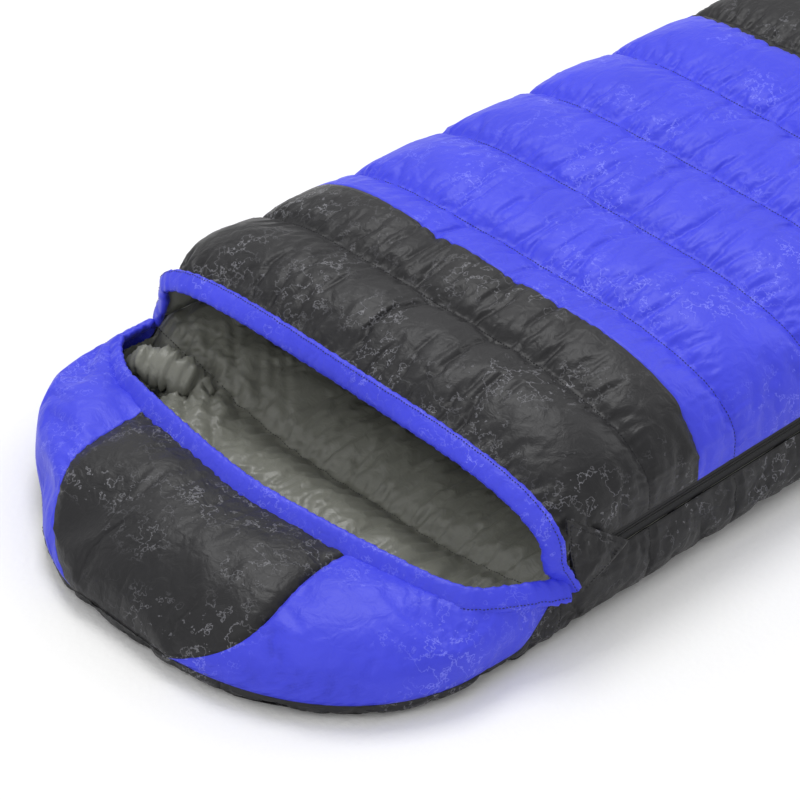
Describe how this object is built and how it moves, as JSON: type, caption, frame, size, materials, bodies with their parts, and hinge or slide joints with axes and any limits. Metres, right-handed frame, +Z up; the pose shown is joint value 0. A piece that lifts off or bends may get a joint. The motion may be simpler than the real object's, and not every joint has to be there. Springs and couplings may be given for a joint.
{
  "type": "mummy sleeping bag",
  "caption": "Padded mummy sleeping bag with a fitted hood, quilted chambers, a side zip with sliders, a draught tube and collar, and a corner tab that covers the zip's end.",
  "frame": {"origin": "on the floor under the middle of the bag's length and width, on the flat underside", "axes": "+Y along the bag from the hood to the foot, +Z up from the floor, +X to the side with the zip"},
  "size_m": [0.8273, 2.2081, 0.263],
  "materials": {
    "black_polyester": "satin",
    "blue_polyester": "satin",
    "grey_satin_lining": "satin",
    "white_down": "matte",
    "black_zip_tape": "matte",
    "black_nylon": "satin",
    "black_elastic_cord": "matte",
    "dark_zinc": "satin"
  },
  "bodies": {
    "lower_quilt": {"shell_floor": "black_polyester", "shell_wall_fold_side": "black_polyester", "shell_wall_zip_side": "black_polyester", "shell_wall_head": "black_polyester", "shell_wall_foot": "black_polyester", "lining_lower": "grey_satin_lining", "down_lower_01": "white_down", "down_lower_02": "white_down", "down_lower_03": "white_down", "down_lower_04": "white_down", "down_lower_05": "white_down", "down_lower_06": "white_down", "down_lower_07": "white_down", "down_lower_08": "white_down", "down_lower_09": "white_down", "down_lower_10": "white_down", "down_lower_11": "white_down", "down_lower_12": "white_down", "down_wall_fold_side": "white_down", "down_wall_zip_side": "white_down", "hood_panel_fold_side": "blue_polyester", "hood_panel_centre": "black_polyester", "hood_panel_zip_side": "blue_polyester", "down_hood": "white_down", "lining_hood": "grey_satin_lining", "rim_hood": "blue_polyester", "cord_hood_rim": "black_elastic_cord", "zip_tape_lower": "black_zip_tape", "zip_coil_lower": "black_nylon", "zip_stop_head": "dark_zinc", "zip_stop_foot": "dark_zinc", "fold_seam_binding": "blue_polyester", "tab_loop_patch": "black_zip_tape"},
    "top_quilt": {"shell_top_chest": "black_polyester", "shell_top_middle": "blue_polyester", "shell_top_foot": "black_polyester", "lining_top": "grey_satin_lining", "down_top_01": "white_down", "down_top_02": "white_down", "down_top_03": "white_down", "down_top_04": "white_down", "down_top_05": "white_down", "down_top_06": "white_down", "down_top_07": "white_down", "down_top_08": "white_down", "down_top_09": "white_down", "down_top_10": "white_down", "down_top_11": "white_down", "rim_chest": "blue_polyester", "zip_tape_top": "black_zip_tape", "zip_coil_top": "black_nylon", "draught_tube": "grey_satin_lining", "draught_collar": "grey_satin_lining"},
    "zip_slider_head": {"zip_slider_head": "dark_zinc"},
    "zip_pull_head": {"zip_slider_head_pull": "dark_zinc"},
    "zip_slider_foot": {"zip_slider_foot": "dark_zinc"},
    "zip_pull_foot": {"zip_slider_foot_pull": "dark_zinc"},
    "corner_tab": {"corner_tab": "black_polyester", "tab_hook_patch": "black_zip_tape"}
  },
  "joints": [
    {"name": "top_open", "type": "hinge", "parent": "lower_quilt", "child": "top_quilt", "pos_m": [-0.403, -0.68, 0.115], "axis": [-0.035, -0.9994, 0], "range_deg": [0, 164]},
    {"name": "zip_head_slide", "type": "slide", "parent": "lower_quilt", "child": "zip_slider_head", "axis": [-0.035, 0.9994, 0], "range_m": [0, 1.25]},
    {"name": "zip_head_pull_swing", "type": "hinge", "parent": "zip_slider_head", "child": "zip_pull_head", "pos_m": [0.4017, -0.62284, 0.115], "axis": [0, 0, -1], "range_deg": [0, 15]},
    {"name": "zip_foot_slide", "type": "slide", "parent": "lower_quilt", "child": "zip_slider_foot", "axis": [-1, 0, 0], "range_m": [-0.17, 0.09]},
    {"name": "zip_foot_pull_swing", "type": "hinge", "parent": "zip_slider_foot", "child": "zip_pull_foot", "pos_m": [-0.04, 1.1007, 0.115], "axis": [0, 0, -1], "range_deg": [0, 170]},
    {"name": "tab_open", "type": "hinge", "parent": "top_quilt", "child": "corner_tab", "pos_m": [0.394, -0.66, 0.186], "axis": [-0.2093, -0.78, 0.5898], "range_deg": [0, 150]}
  ]
}
